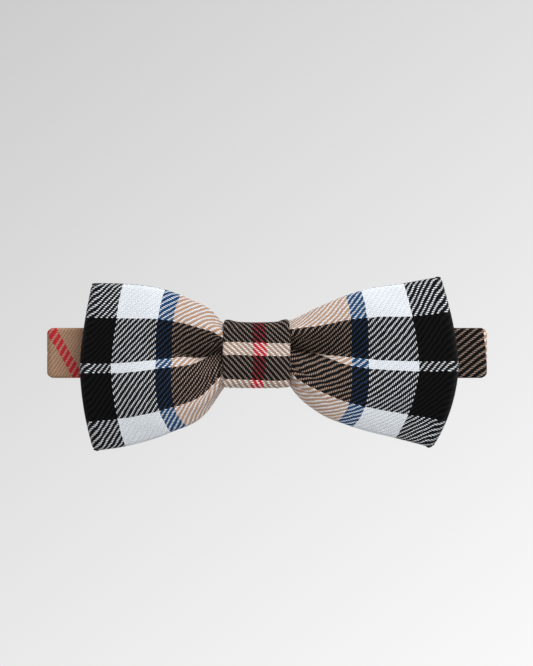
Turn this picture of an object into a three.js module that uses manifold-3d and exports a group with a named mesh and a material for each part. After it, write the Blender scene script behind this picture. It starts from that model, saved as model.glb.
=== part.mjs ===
// Ready-tied bow tie on an adjustable neck band that is folded flat behind the bow.
// Millimetres. +Z up, +X to the onlooker's right, -Y towards the onlooker.
// The origin is the middle of the knot's back, where the bow lies on the collar button.
import * as THREE from 'three';
import { mergeVertices } from 'three/addons/utils/BufferGeometryUtils.js';
import Module from 'manifold-3d';

// Bow: one cloth tube, laid flat, folded into a loop and pinched at the knot.
const BOW_LEFT = -56.1;
const BOW_RIGHT = 64.1;
const PANEL = 3.2;
const PINCH_DEPTH = 8.8;
const WING_DEPTH = 12.5;
const PINCH_HALF_HEIGHT = 7.6;
const LEFT_TOP = 22.5;
const LEFT_BOTTOM = -30.7;
const RIGHT_TOP = 24.6;
const RIGHT_BOTTOM = -29.7;
const LEFT_CORNER_PULL = 0.07;
const RIGHT_CORNER_PULL = 0.11;
const BOW_BACK = -3.8;
const BOW_END_GAP = 1.2;
const CAVITY = 1.4;
const BOW_INTERLINING = 0.8;
const TUBE_HEM = 0.93;
const INTERLINING_REACH = 0.9;
const WING_FULLNESS = 2.5;
const FULL_DEPTH_SHARE = 0.5;

// Knot: a short cloth strip wrapped round the pinch and the band, closed low on its back.
const KNOT_WIDTH = 21;
const KNOT_HALF_HEIGHT = 10.6;
const KNOT_DEPTH = 15.5;
const KNOT_WALL = 1.2;
const KNOT_BACK_WALL = 0.9;
const KNOT_CORNER = 3;
const KNOT_LINING = 0.6;
const KNOT_LINING_INSET = 1;
const KNOT_CLEARANCE = 0.3;
const LAYER_GAP = 0.2;

// Neck band: a flat cloth tube over an interlining strip.
const BAND_HEIGHT = 16;
const BAND_LIFT = 0.3;
const BAND_THICK = 1.8;
const BAND_WALL = 0.5;
const BAND_LINING = 0.5;
const BAND_LINING_HEIGHT = 13.6;
const BAND_BACK = -1.1;
const FOLD_GAP = 1.4;
const LEFT_TAB_TIP = -67.1;
const RIGHT_TAB_TIP = 73.7;
const MID_FOLD_TIP = 1.5;

// Metal closure at the two ends of the band.
const BAR = 1;
const BAR_GAP = 0.3;
const FRAME_HALF_HEIGHT = 10.2;
const FRAME_RAIL = 1.6;
const EYE_BAR_X = -43.4;
const EYE_LENGTH = 11.2;
const HOOK_BAR_X = 51.5;
const HOOK_FRAME_LENGTH = 7;
const HOOK_TONGUE_HALF_WIDTH = 3.5;
const HOOK_TONGUE_X = 65.5;
const HOOK_TIP_X = 60.2;
const HOOK_MOUTH = 1.3;
const SLIDER_X = 27;
const SLIDER_HALF_LENGTH = 5.6;
const EYE_RETURN = 12;
const SLIDER_RETURN = 5;
const EYE_TACK_INSET = 4;
const SLIDER_TACK_OFFSET = 2.6;
const HOOK_TRAVEL_BACK = 2;
const TACK_WIDTH = 1.6;
const TACK_HALF_HEIGHT = 6.5;
const TACK_DEPTH = 0.5;
const TACK_MARGIN = 0.1;
const WELD = 0.01;
const CUT_MARGIN = 1;

const BAR_SEGMENTS = 16;
const ROUND_STEPS = 10;

const KNOT_EDGE = KNOT_WIDTH / 2 + KNOT_CLEARANCE;
const FOLD_INNER = FOLD_GAP / 2;
const FOLD_OUTER = FOLD_INNER + BAND_THICK;
const INNER_TAIL_FRONT = BAND_BACK + FOLD_GAP;
const OUTER_TAIL_FRONT = INNER_TAIL_FRONT + BAND_THICK + FOLD_GAP;
const OUTER_TAIL_BACK = OUTER_TAIL_FRONT + BAND_THICK;
const BAR_Y = OUTER_TAIL_BACK + BAR_GAP + BAR / 2;
const LOOP_INNER = BAR / 2 + BAR_GAP;
const LOOP_OUTER = LOOP_INNER + BAND_THICK;
const LEFT_RUN_END = LEFT_TAB_TIP + FOLD_OUTER;
const RIGHT_RUN_END = RIGHT_TAB_TIP - FOLD_OUTER;
const MID_RUN_END = MID_FOLD_TIP + FOLD_OUTER;
const NODE_GAP = 0.3;

const wasm = await Module();
wasm.setup();

const group = new THREE.Group();

const materials = {
  bow: new THREE.MeshStandardMaterial({ color: 0x8f959c, roughness: 0.9, metalness: 0 }),
  knot: new THREE.MeshStandardMaterial({ color: 0x5a4636, roughness: 0.9, metalness: 0 }),
  band: new THREE.MeshStandardMaterial({ color: 0x8a6c54, roughness: 0.9, metalness: 0 }),
  lining: new THREE.MeshStandardMaterial({ color: 0xe4ded2, roughness: 0.95, metalness: 0 }),
  thread: new THREE.MeshStandardMaterial({ color: 0x1c1a1a, roughness: 0.7, metalness: 0 }),
  metal: new THREE.MeshStandardMaterial({ color: 0xb9bcc0, roughness: 0.3, metalness: 1 }),
};

function add(name, geometry, material) {
  const mesh = new THREE.Mesh(geometry, materials[material]);
  mesh.name = name;
  group.add(mesh);
}

function toSolid(geometry) {
  const bare = geometry.clone();
  bare.deleteAttribute('normal');
  bare.deleteAttribute('uv');
  const merged = mergeVertices(bare);
  return new wasm.Manifold(new wasm.Mesh({
    numProp: 3,
    vertProperties: new Float32Array(merged.attributes.position.array),
    triVerts: new Uint32Array(merged.index.array),
  }));
}

function toGeometry(solid) {
  const mesh = solid.getMesh();
  const geometry = new THREE.BufferGeometry();
  geometry.setAttribute('position', new THREE.BufferAttribute(mesh.vertProperties, 3));
  geometry.setIndex(new THREE.BufferAttribute(mesh.triVerts, 1));
  return geometry;
}

function cut(geometry, ...tools) {
  return toGeometry(tools.reduce((solid, tool) => solid.subtract(toSolid(tool)), toSolid(geometry)));
}

function join(...pieces) {
  return toGeometry(pieces.map(toSolid).reduce((solid, piece) => solid.add(piece)));
}

// A box given by its lowest and highest corners.
function block(low, high) {
  const [sx, sy, sz] = low.map((value, axis) => high[axis] - value);
  const box = new THREE.BoxGeometry(sx, sy, sz);
  return box.translate((low[0] + high[0]) / 2, (low[1] + high[1]) / 2, (low[2] + high[2]) / 2);
}

// An outline drawn in plan (X, Y) and raised between two heights.
function plan(shape, zLow, zHigh) {
  const options = { depth: zHigh - zLow, bevelEnabled: false, curveSegments: ROUND_STEPS };
  return new THREE.ExtrudeGeometry(shape, options).translate(0, 0, zLow);
}

// An outline drawn in side view (Y, Z) and carried along X, centred on x = 0.
function profile(shape, width) {
  const options = { depth: width, bevelEnabled: false, curveSegments: ROUND_STEPS };
  const geometry = new THREE.ExtrudeGeometry(shape, options).translate(0, 0, -width / 2);
  const toSide = new THREE.Matrix4().makeBasis(
    new THREE.Vector3(0, 1, 0),
    new THREE.Vector3(0, 0, 1),
    new THREE.Vector3(1, 0, 0),
  );
  return geometry.applyMatrix4(toSide);
}

function roundedRectangle(target, low, high, radius) {
  const [x0, y0] = low;
  const [x1, y1] = high;
  target.moveTo(x0 + radius, y0);
  target.lineTo(x1 - radius, y0);
  target.absarc(x1 - radius, y0 + radius, radius, -Math.PI / 2, 0);
  target.lineTo(x1, y1 - radius);
  target.absarc(x1 - radius, y1 - radius, radius, 0, Math.PI / 2);
  target.lineTo(x0 + radius, y1);
  target.absarc(x0 + radius, y1 - radius, radius, Math.PI / 2, Math.PI);
  target.lineTo(x0, y0 + radius);
  target.absarc(x0 + radius, y0 + radius, radius, Math.PI, Math.PI * 1.5);
  return target;
}

// ---- Bow ----

function ease(value) {
  const t = Math.min(Math.max(value, 0), 1);
  return t * t * (3 - 2 * t);
}

// How far the cloth has opened out, from 0 at the pinch to 1 at a wing's outer edge.
function opening(x) {
  const end = x < 0 ? BOW_LEFT : BOW_RIGHT;
  return Math.min(Math.max((Math.abs(x) - KNOT_EDGE) / (Math.abs(end) - KNOT_EDGE), 0), 1);
}

function edgeHeight(x, target, root) {
  const fullness = 1 - (1 - opening(x)) ** WING_FULLNESS;
  return root + (target - root) * fullness;
}

function frontLine(x) {
  const depth = PINCH_DEPTH + (WING_DEPTH - PINCH_DEPTH) * ease(opening(x) / FULL_DEPTH_SHARE);
  return BOW_BACK - depth + PANEL / 2;
}

// Stations along one straight side, from the middle out: two inside the knot, the rest along the wing.
function wingStations(start, end) {
  const knotEdge = Math.sign(end) * KNOT_EDGE;
  const inside = [start, (start + knotEdge) / 2];
  const wingSteps = 8;
  const along = (i) => knotEdge + ((end - knotEdge) * i) / wingSteps;
  return [...inside, ...Array.from({ length: wingSteps }, (_, i) => along(i))];
}

// Middle line of the cloth loop seen from above: back, rolled end, front, rolled end, back.
function loopLine(overrun) {
  const back = BOW_BACK - PANEL / 2;
  const roll = (WING_DEPTH - PANEL) / 2;
  const right = BOW_RIGHT - PANEL / 2 - roll;
  const left = BOW_LEFT + PANEL / 2 + roll;
  const middle = back - roll;
  const rollSteps = 8;
  const start = BOW_END_GAP / 2 - overrun;
  const rolled = (x, from) => Array.from({ length: rollSteps }, (_, i) => {
    const angle = from - (Math.PI * i) / rollSteps;
    return [x + roll * Math.cos(angle), middle + roll * Math.sin(angle)];
  });
  return [
    ...wingStations(start, right).map((x) => [x, back]),
    ...rolled(right, Math.PI / 2),
    [right, frontLine(right)],
    ...wingStations(0, right).reverse().map((x) => [x, frontLine(x)]),
    ...wingStations(0, left).slice(1).map((x) => [x, frontLine(x)]),
    ...rolled(left, -Math.PI / 2),
    [left, back],
    ...wingStations(-start, left).reverse().map((x) => [x, back]),
  ];
}

// A strip that follows the loop line, of the given thickness and share of the cloth's height.
function loopStrip(thickness, reach, overrun) {
  const line = loopLine(overrun);
  const steps = line.length - 1;
  const acrossSteps = 6;
  const strip = new THREE.BoxGeometry(steps, 2, 2, steps, acrossSteps, 1);
  const position = strip.attributes.position;
  for (let i = 0; i < position.count; i += 1) {
    const station = Math.round(position.getX(i) + steps / 2);
    const across = position.getY(i) * reach;
    const offset = (position.getZ(i) * thickness) / 2;
    const [x, y] = line[station];
    const before = line[Math.max(station - 1, 0)];
    const after = line[Math.min(station + 1, steps)];
    const length = Math.hypot(after[0] - before[0], after[1] - before[1]);
    const alongX = (after[0] - before[0]) / length;
    const alongY = (after[1] - before[1]) / length;
    const top = x < 0 ? LEFT_TOP : RIGHT_TOP;
    const bottom = x < 0 ? LEFT_BOTTOM : RIGHT_BOTTOM;
    const zTop = edgeHeight(x, top, PINCH_HALF_HEIGHT);
    const zBottom = edgeHeight(x, bottom, -PINCH_HALF_HEIGHT);
    const pull = x < 0 ? LEFT_CORNER_PULL : RIGHT_CORNER_PULL;
    const narrowing = 1 - pull * across ** 2 * opening(x) ** 2;
    position.setXYZ(
      i,
      (x + alongY * offset) * narrowing,
      y - alongX * offset,
      (zTop + zBottom) / 2 + (across * (zTop - zBottom)) / 2,
    );
  }
  return strip;
}

const bowTube = loopStrip(PANEL, 1, 0);
const bowCavity = loopStrip(CAVITY, TUBE_HEM, BOW_END_GAP / 4);
add('bow_cloth', cut(bowTube, bowCavity), 'bow');
add('bow_interlining', loopStrip(BOW_INTERLINING, INTERLINING_REACH, 0), 'lining');

// Three turns of thread, side by side, that hold the pinch.
const threadSize = 0.5;
const threadTurns = 3;
const threadGap = 0.1;
const threadShape = roundedRectangle(
  new THREE.Shape(),
  [BOW_BACK - PINCH_DEPTH - threadGap - threadSize, -PINCH_HALF_HEIGHT - threadGap - threadSize],
  [BOW_BACK + threadGap + threadSize, PINCH_HALF_HEIGHT + threadGap + threadSize],
  threadSize,
);
threadShape.holes.push(roundedRectangle(
  new THREE.Path(),
  [BOW_BACK - PINCH_DEPTH - threadGap, -PINCH_HALF_HEIGHT - threadGap],
  [BOW_BACK + threadGap, PINCH_HALF_HEIGHT + threadGap],
  threadGap / 2,
));
add('gather_thread', profile(threadShape, threadSize * threadTurns), 'thread');

// ---- Knot ----

const knotInnerFront = -KNOT_DEPTH + KNOT_WALL;
const knotInnerHalf = KNOT_HALF_HEIGHT - KNOT_WALL;
const wrapShape = roundedRectangle(
  new THREE.Shape(),
  [-KNOT_DEPTH, -KNOT_HALF_HEIGHT],
  [0, KNOT_HALF_HEIGHT],
  KNOT_CORNER,
);
wrapShape.holes.push(roundedRectangle(
  new THREE.Path(),
  [knotInnerFront, -knotInnerHalf],
  [-KNOT_BACK_WALL, knotInnerHalf],
  LAYER_GAP,
));
add('knot_wrap', profile(wrapShape, KNOT_WIDTH), 'knot');

// The knot's lining is a strip bent over the top, the front and the bottom.
const liningFront = knotInnerFront + LAYER_GAP;
const liningHalf = knotInnerHalf - LAYER_GAP;
const liningBack = BAND_BACK - KNOT_LINING_INSET;
const liningShape = new THREE.Shape();
liningShape.moveTo(liningBack, liningHalf);
liningShape.lineTo(liningFront + KNOT_LINING, liningHalf);
liningShape.lineTo(liningFront, liningHalf - KNOT_LINING);
liningShape.lineTo(liningFront, -liningHalf + KNOT_LINING);
liningShape.lineTo(liningFront + KNOT_LINING, -liningHalf);
liningShape.lineTo(liningBack, -liningHalf);
liningShape.lineTo(liningBack, -liningHalf + KNOT_LINING);
liningShape.lineTo(liningFront + KNOT_LINING, -liningHalf + KNOT_LINING);
liningShape.lineTo(liningFront + KNOT_LINING, liningHalf - KNOT_LINING);
liningShape.lineTo(liningBack, liningHalf - KNOT_LINING);
add('knot_interlining', profile(liningShape, KNOT_WIDTH - 2 * KNOT_LINING_INSET), 'lining');

// Whip stitches that close the wrap, run as one thread along its lower back corner.
const stitchPoints = [];
const stitchCount = 9;
const stitchMargin = 2;
const stitchSpan = KNOT_WIDTH - 2 * stitchMargin;
const stitchRadius = 0.18;
const stitchAngle = -Math.PI / 3;
const stitchLean = 0.28;
const stitchOffset = KNOT_CORNER + stitchRadius + LAYER_GAP;
for (let i = 0; i <= stitchCount; i += 1) {
  const angle = stitchAngle + (i % 2 ? stitchLean : -stitchLean);
  stitchPoints.push(new THREE.Vector3(
    -stitchSpan / 2 + (stitchSpan * i) / stitchCount,
    -KNOT_CORNER + stitchOffset * Math.cos(angle),
    -KNOT_HALF_HEIGHT + KNOT_CORNER + stitchOffset * Math.sin(angle),
  ));
}
const stepsPerStitch = 4;
const threadSides = 6;
const stitchRound = new THREE.Shape();
stitchRound.absarc(0, 0, stitchRadius, 0, Math.PI * 2);
add('knot_seam_thread', new THREE.ExtrudeGeometry(stitchRound, {
  steps: stitchCount * stepsPerStitch,
  curveSegments: threadSides,
  bevelEnabled: false,
  extrudePath: new THREE.CatmullRomCurve3(stitchPoints),
}), 'thread');

// ---- Neck band ----

const bandLow = BAND_LIFT - BAND_HEIGHT / 2;
const bandHigh = BAND_LIFT + BAND_HEIGHT / 2;

// One flat run of the band: a cloth sleeve open at both ends, with its interlining inside.
function bandRun(name, xLow, xHigh, front) {
  const back = front + BAND_THICK;
  const sleeve = block([xLow, front, bandLow], [xHigh, back, bandHigh]);
  const hollow = block(
    [xLow - CUT_MARGIN, front + BAND_WALL, bandLow + BAND_WALL],
    [xHigh + CUT_MARGIN, back - BAND_WALL, bandHigh - BAND_WALL],
  );
  const middle = (front + back) / 2;
  const strip = block(
    [xLow, middle - BAND_LINING / 2, BAND_LIFT - BAND_LINING_HEIGHT / 2],
    [xHigh, middle + BAND_LINING / 2, BAND_LIFT + BAND_LINING_HEIGHT / 2],
  );
  add(name, cut(sleeve, hollow), 'band');
  add(`${name}_interlining`, strip, 'lining');
}

// Half a ring of cloth, seen from above, round a vertical line. side is +1 when it bulges towards +X.
function halfRing(x, y, inner, outer, side) {
  const shape = new THREE.Shape();
  const from = -Math.PI / 2;
  const to = Math.PI / 2;
  const turned = (angle) => (side > 0 ? angle : Math.PI - angle);
  shape.absarc(x, y, outer, turned(from), turned(to), side < 0);
  shape.absarc(x, y, inner, turned(to), turned(from), side > 0);
  return plan(shape, bandLow, bandHigh);
}

bandRun('band_centre', LEFT_RUN_END, RIGHT_RUN_END, BAND_BACK - BAND_THICK);
bandRun('left_tail_inner', LEFT_RUN_END, -MID_RUN_END, INNER_TAIL_FRONT);
bandRun('left_tail_outer', EYE_BAR_X + NODE_GAP, -MID_RUN_END, OUTER_TAIL_FRONT);
bandRun('right_tail_inner', MID_RUN_END, RIGHT_RUN_END, INNER_TAIL_FRONT);
bandRun('right_tail_outer', MID_RUN_END, HOOK_BAR_X - HOOK_TRAVEL_BACK - NODE_GAP, OUTER_TAIL_FRONT);

const tabFoldY = BAND_BACK + FOLD_INNER;
const midFoldY = INNER_TAIL_FRONT + BAND_THICK + FOLD_INNER;
const folds = [
  ['left_tab_fold', LEFT_RUN_END - NODE_GAP, tabFoldY, -1],
  ['right_tab_fold', RIGHT_RUN_END + NODE_GAP, tabFoldY, 1],
  ['left_mid_fold', -MID_RUN_END + NODE_GAP, midFoldY, 1],
  ['right_mid_fold', MID_RUN_END - NODE_GAP, midFoldY, -1],
];
for (const [name, x, y, side] of folds) {
  add(name, halfRing(x, y, FOLD_INNER, FOLD_OUTER - NODE_GAP, side), 'band');
}

// ---- Band ends and metal closure ----

const returnFront = BAR_Y + LOOP_INNER;
const returnBack = BAR_Y + LOOP_OUTER;

// A bar tack: a dense block of stitches sunk into the cloth, and the pocket it sits in.
function tackBlock(x) {
  return block(
    [x - TACK_WIDTH / 2, returnBack - TACK_DEPTH, BAND_LIFT - TACK_HALF_HEIGHT],
    [x + TACK_WIDTH / 2, returnBack - TACK_MARGIN, BAND_LIFT + TACK_HALF_HEIGHT],
  );
}

const pocketHalf = TACK_HALF_HEIGHT + TACK_MARGIN;

function pocket(x) {
  return block(
    [x - TACK_WIDTH / 2 - TACK_MARGIN, returnBack - TACK_DEPTH - TACK_MARGIN, BAND_LIFT - pocketHalf],
    [x + TACK_WIDTH / 2 + TACK_MARGIN, returnBack + CUT_MARGIN, BAND_LIFT + pocketHalf],
  );
}

// Left end: the strap turns round the eye's bar and is sewn back on itself.
const eyeTackX = EYE_BAR_X + EYE_RETURN - EYE_TACK_INSET;
const eyeTurn = halfRing(EYE_BAR_X, BAR_Y, LOOP_INNER, LOOP_OUTER, -1);
const eyeReturn = block(
  [EYE_BAR_X - WELD, returnFront, bandLow],
  [EYE_BAR_X + EYE_RETURN, returnBack, bandHigh],
);
add('left_end_loop', cut(join(eyeTurn, eyeReturn), pocket(eyeTackX)), 'band');
add('eye_tack', tackBlock(eyeTackX), 'thread');

function roundBar(x, y, halfHeight) {
  const bar = new THREE.CylinderGeometry(BAR / 2, BAR / 2, halfHeight * 2, BAR_SEGMENTS);
  return bar.rotateX(Math.PI / 2).translate(x, y, BAND_LIFT);
}

// A flat wire frame: a round bar at barX, two rails and a flat bar at the far end.
function frame(barX, length) {
  const side = Math.sign(length);
  const far = barX + length;
  const span = (a, b) => [Math.min(a, b), Math.max(a, b)];
  const [railLow, railHigh] = span(barX - side * (BAR / 2), far);
  const [endLow, endHigh] = span(far - side * FRAME_RAIL, far);
  const low = BAND_LIFT - FRAME_HALF_HEIGHT;
  const high = BAND_LIFT + FRAME_HALF_HEIGHT;
  return join(
    roundBar(barX, BAR_Y, FRAME_HALF_HEIGHT - FRAME_RAIL / 2),
    block([railLow, BAR_Y - BAR / 2, low], [railHigh, BAR_Y + BAR / 2, low + FRAME_RAIL]),
    block([railLow, BAR_Y - BAR / 2, high - FRAME_RAIL], [railHigh, BAR_Y + BAR / 2, high]),
    block([endLow, BAR_Y - BAR / 2, low], [endHigh, BAR_Y + BAR / 2, high]),
  );
}

add('eye_ring', frame(EYE_BAR_X, -EYE_LENGTH), 'metal');

// Right end: the strap turns round the hook's bar and runs back to the slide adjuster.
add('strap_end_loop', halfRing(HOOK_BAR_X, BAR_Y, LOOP_INNER, LOOP_OUTER, 1), 'band');

const tongue = new THREE.Shape();
const tongueRoot = HOOK_BAR_X + HOOK_FRAME_LENGTH - FRAME_RAIL / 2;
const bendY = BAR_Y + BAR / 2 + HOOK_MOUTH;
tongue.moveTo(tongueRoot, BAR_Y - BAR / 2);
tongue.absarc(HOOK_TONGUE_X, bendY, HOOK_MOUTH + BAR, -Math.PI / 2, Math.PI / 2);
tongue.lineTo(HOOK_TIP_X, bendY + HOOK_MOUTH + BAR);
tongue.lineTo(HOOK_TIP_X, bendY + HOOK_MOUTH);
tongue.absarc(HOOK_TONGUE_X, bendY, HOOK_MOUTH, Math.PI / 2, -Math.PI / 2, true);
tongue.lineTo(tongueRoot, BAR_Y + BAR / 2);
const tongueSolid = plan(tongue, BAND_LIFT - HOOK_TONGUE_HALF_WIDTH, BAND_LIFT + HOOK_TONGUE_HALF_WIDTH);
add('hook', join(frame(HOOK_BAR_X, HOOK_FRAME_LENGTH), tongueSolid), 'metal');

// Slide adjuster: two bars in front of the strap, and a bar behind it that holds the sewn end.
const frontBarThick = 0.8;
const frontBarWidth = 1.4;
const frontBarHigh = OUTER_TAIL_FRONT - BAR_GAP;
const frontBarLow = frontBarHigh - frontBarThick;
const railThick = 1;
const railWidth = 1.4;
const archTop = 1.4;
const arch = new THREE.Shape();
arch.moveTo(-SLIDER_HALF_LENGTH, frontBarLow);
arch.lineTo(-SLIDER_HALF_LENGTH + frontBarWidth, frontBarLow);
arch.lineTo(-BAR, BAR_Y - railThick / 2);
arch.lineTo(BAR, BAR_Y - railThick / 2);
arch.lineTo(SLIDER_HALF_LENGTH - frontBarWidth, frontBarLow);
arch.lineTo(SLIDER_HALF_LENGTH, frontBarLow);
arch.lineTo(SLIDER_HALF_LENGTH, frontBarLow + railThick);
arch.lineTo(archTop, BAR_Y + railThick / 2);
arch.lineTo(-archTop, BAR_Y + railThick / 2);
arch.lineTo(-SLIDER_HALF_LENGTH, frontBarLow + railThick);
const railInner = BAND_HEIGHT / 2 + BAR_GAP;
const railOuter = railInner + railWidth;
const sliderPieces = [
  plan(arch, BAND_LIFT + railInner, BAND_LIFT + railOuter),
  plan(arch, BAND_LIFT - railOuter, BAND_LIFT - railInner),
  roundBar(0, BAR_Y, railInner + railWidth / 2),
];
for (const side of [-1, 1]) {
  const edge = side * SLIDER_HALF_LENGTH;
  const inside = side * (SLIDER_HALF_LENGTH - frontBarWidth);
  sliderPieces.push(block(
    [Math.min(edge, inside), frontBarLow, BAND_LIFT - railOuter],
    [Math.max(edge, inside), frontBarHigh, BAND_LIFT + railOuter],
  ));
}
add('slide_adjuster', join(...sliderPieces).translate(SLIDER_X, 0, 0), 'metal');

// The strap's sewn end hangs over the adjuster's bar.
const sliderTackX = SLIDER_X + SLIDER_TACK_OFFSET;
const capEnd = SLIDER_X + SLIDER_RETURN;
const capShape = new THREE.Shape();
capShape.moveTo(SLIDER_X - LOOP_OUTER, OUTER_TAIL_BACK + BAR_GAP);
capShape.lineTo(SLIDER_X - LOOP_INNER, OUTER_TAIL_BACK + BAR_GAP);
capShape.absarc(SLIDER_X, BAR_Y, LOOP_INNER, Math.PI, Math.PI / 2, true);
capShape.lineTo(capEnd, returnFront);
capShape.lineTo(capEnd, returnBack);
capShape.absarc(SLIDER_X, BAR_Y, LOOP_OUTER, Math.PI / 2, Math.PI);
add('adjuster_strap_end', cut(plan(capShape, bandLow, bandHigh), pocket(sliderTackX)), 'band');
add('adjuster_tack', tackBlock(sliderTackX), 'thread');
add('return_strap', block(
  [capEnd + NODE_GAP, returnFront, bandLow],
  [HOOK_BAR_X - NODE_GAP, returnBack, bandHigh],
), 'band');

export default group;
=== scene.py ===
"""A ready-tied bow tie in checked wool twill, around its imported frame.

Lengths in this script are millimetres and become metres in the mesh. The frame's +X is to the onlooker's
right, -Y is towards the onlooker and +Z is up. The origin is the middle of the knot's back face.
"""

import math

import bmesh
import bpy
import numpy as np
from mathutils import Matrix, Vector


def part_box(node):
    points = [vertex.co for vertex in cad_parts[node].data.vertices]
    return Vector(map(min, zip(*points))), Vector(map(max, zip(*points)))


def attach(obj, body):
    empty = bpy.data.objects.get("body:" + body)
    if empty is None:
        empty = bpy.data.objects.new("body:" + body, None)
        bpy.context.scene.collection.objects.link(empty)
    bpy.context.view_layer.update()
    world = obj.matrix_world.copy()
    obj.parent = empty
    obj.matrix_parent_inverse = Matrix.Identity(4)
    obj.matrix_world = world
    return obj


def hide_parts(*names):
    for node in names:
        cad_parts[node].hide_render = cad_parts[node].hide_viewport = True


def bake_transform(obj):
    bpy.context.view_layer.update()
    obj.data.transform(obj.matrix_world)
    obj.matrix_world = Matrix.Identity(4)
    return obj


MM = 0.001

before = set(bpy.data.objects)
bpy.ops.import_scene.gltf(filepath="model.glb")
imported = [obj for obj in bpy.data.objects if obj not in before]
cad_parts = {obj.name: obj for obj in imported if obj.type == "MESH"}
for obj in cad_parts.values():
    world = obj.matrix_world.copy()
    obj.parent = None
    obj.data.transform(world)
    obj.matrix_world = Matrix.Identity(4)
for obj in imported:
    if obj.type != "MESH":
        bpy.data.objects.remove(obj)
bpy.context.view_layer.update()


def node_box(name):
    """Lowest and highest corner of a frame node, in mm."""
    low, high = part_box(name)
    return np.array(low) / MM, np.array(high) / MM


# ---------------------------------------------------------------- sizes

KNOT_LOW, KNOT_HIGH = node_box("knot_wrap")
BAND_LOW, BAND_HIGH = node_box("band_centre")
KNOT_SIDE = KNOT_HIGH[0]
KNOT_FRONT = KNOT_LOW[1]
BAND_MID = (BAND_LOW[2] + BAND_HIGH[2]) / 2
BAND_HALF = (BAND_HIGH[2] - BAND_LOW[2]) / 2

YARN = 0.52  # one yarn to the next
KNOT_YARN = 0.45
BOW_HALF_WIDTH = 26.6  # half the flat bow tube
BOW_THICK = 2.4
BOW_EDGE_ROUND = 1.5
KNOT_THICK = 1.3
KNOT_EDGE_ROUND = 0.9
STRAP_THICK = 1.8


# ---------------------------------------------------------------- maths

def smooth(value, low, high):
    """0 below low, 1 above high, an S curve between."""
    t = np.clip((value - low) / (high - low), 0, 1)
    return t * t * (3 - 2 * t)


def hump(value, centre, width):
    """A bell of height 1 round the centre."""
    return np.exp(-((value - centre) / width) ** 2)


def hermite(x, points):
    """A smooth curve through (x, y) points given in rising x."""
    px, py = np.array(points, float).T
    slope = np.gradient(py, px)
    k = np.clip(np.searchsorted(px, x) - 1, 0, len(px) - 2)
    step = px[k + 1] - px[k]
    t = np.clip((x - px[k]) / step, 0, 1)
    start = (1 + 2 * t) * (1 - t) ** 2 * py[k] + t * (1 - t) ** 2 * step * slope[k]
    end = t * t * (3 - 2 * t) * py[k + 1] + t * t * (t - 1) * step * slope[k + 1]
    return start + end


def even_path(points, step):
    """The same polyline, with points about step apart, and its running length."""
    points = np.array(points, float)
    run = np.concatenate([[0], np.cumsum(np.linalg.norm(np.diff(points, axis=0), axis=1))])
    count = max(2, int(round(run[-1] / step)) + 1)
    s = np.linspace(0, run[-1], count)
    return np.stack([np.interp(s, run, points[:, k]) for k in range(points.shape[1])], 1), s


def across(count, bunching=0.55):
    """Places from -1 to 1 across a strip, closer together at its rounded edges."""
    angle = np.linspace(-math.pi / 2, math.pi / 2, count)
    return bunching * np.sin(angle) + (1 - bunching) * angle / (math.pi / 2)


# ---------------------------------------------------------------- meshes

def make_mesh(name, points, faces, weave=None):
    """A smooth-shaded object from points in mm. weave is each point's (u, v, 0) in the cloth, in mm."""
    mesh = bpy.data.meshes.new(name)
    mesh.from_pydata([tuple(p) for p in np.asarray(points) * MM], [], faces)
    mesh.validate()
    if weave is not None:
        layer = mesh.attributes.new("weave", "FLOAT_VECTOR", "POINT")
        layer.data.foreach_set("vector", np.asarray(weave, np.float32).ravel())
    mesh.polygons.foreach_set("use_smooth", [True] * len(mesh.polygons))
    mesh.update()
    piece = bpy.data.objects.new(name, mesh)
    bpy.context.scene.collection.objects.link(piece)
    return piece


def strip(name, middle, half, weave, flip=False, edge_seam=False):
    """A closed strip of cloth. middle is a grid of points along and across the strip, half its half
    thickness (0 at both long edges), weave the (u, v) of its outer side in mm. The outer side is the
    one that the cross product of along and across points to, or with flip the other one."""
    rows, columns, _ = middle.shape
    along = np.gradient(middle, axis=0)
    width = np.gradient(middle, axis=1)
    normal = np.cross(along, width)
    normal /= np.linalg.norm(normal, axis=2, keepdims=True) * (-1 if flip else 1)
    outer = middle + normal * half[..., None]
    inner = (middle - normal * half[..., None])[:, -2:0:-1]
    ring = np.concatenate([outer, inner], 1)
    # the yarns go on round each edge, and meet at a seam in the middle of the inner side or at one edge
    nearest = np.where((np.arange(columns) * 2 < columns) | edge_seam, 0, columns - 1)
    round_edge = 2 * weave[:, nearest] - weave
    ring_weave = np.concatenate([weave, round_edge[:, -2:0:-1]], 1)
    around = ring.shape[1]
    ids = np.arange(rows * around).reshape(rows, around)
    faces = []
    for i in range(rows - 1):
        for k in range(around):
            n = (k + 1) % around
            faces.append((ids[i, k], ids[i + 1, k], ids[i + 1, n], ids[i, n]))
    for i, last in ((0, False), (rows - 1, True)):
        for k in range(columns - 1):
            a, b = ids[i, k], ids[i, k + 1]
            c, d = ids[i, (around - k - 1) % around], ids[i, (around - k) % around]
            quad = [a, d, c, b] if k else [a, c, b]
            if k == columns - 2:
                quad = [a, d, b]
            faces.append(tuple(quad if last else quad[::-1]))
    flat = np.concatenate([ring_weave, np.zeros(ring_weave.shape[:2] + (1,))], 2)
    faces = [tuple(int(v) for v in (f[::-1] if flip else f)) for f in faces]
    return make_mesh(name, ring.reshape(-1, 3), faces, flat.reshape(-1, 3))


def edge_profile(s, thick, half_width, corner):
    """Half thickness across a strip: full in the middle, a round edge of that corner length."""
    inside = np.clip((1 - np.abs(s)) * half_width / corner, 0, 1)
    return thick / 2 * np.sqrt(1 - (1 - inside) ** 2)


# ---------------------------------------------------------------- materials

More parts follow.
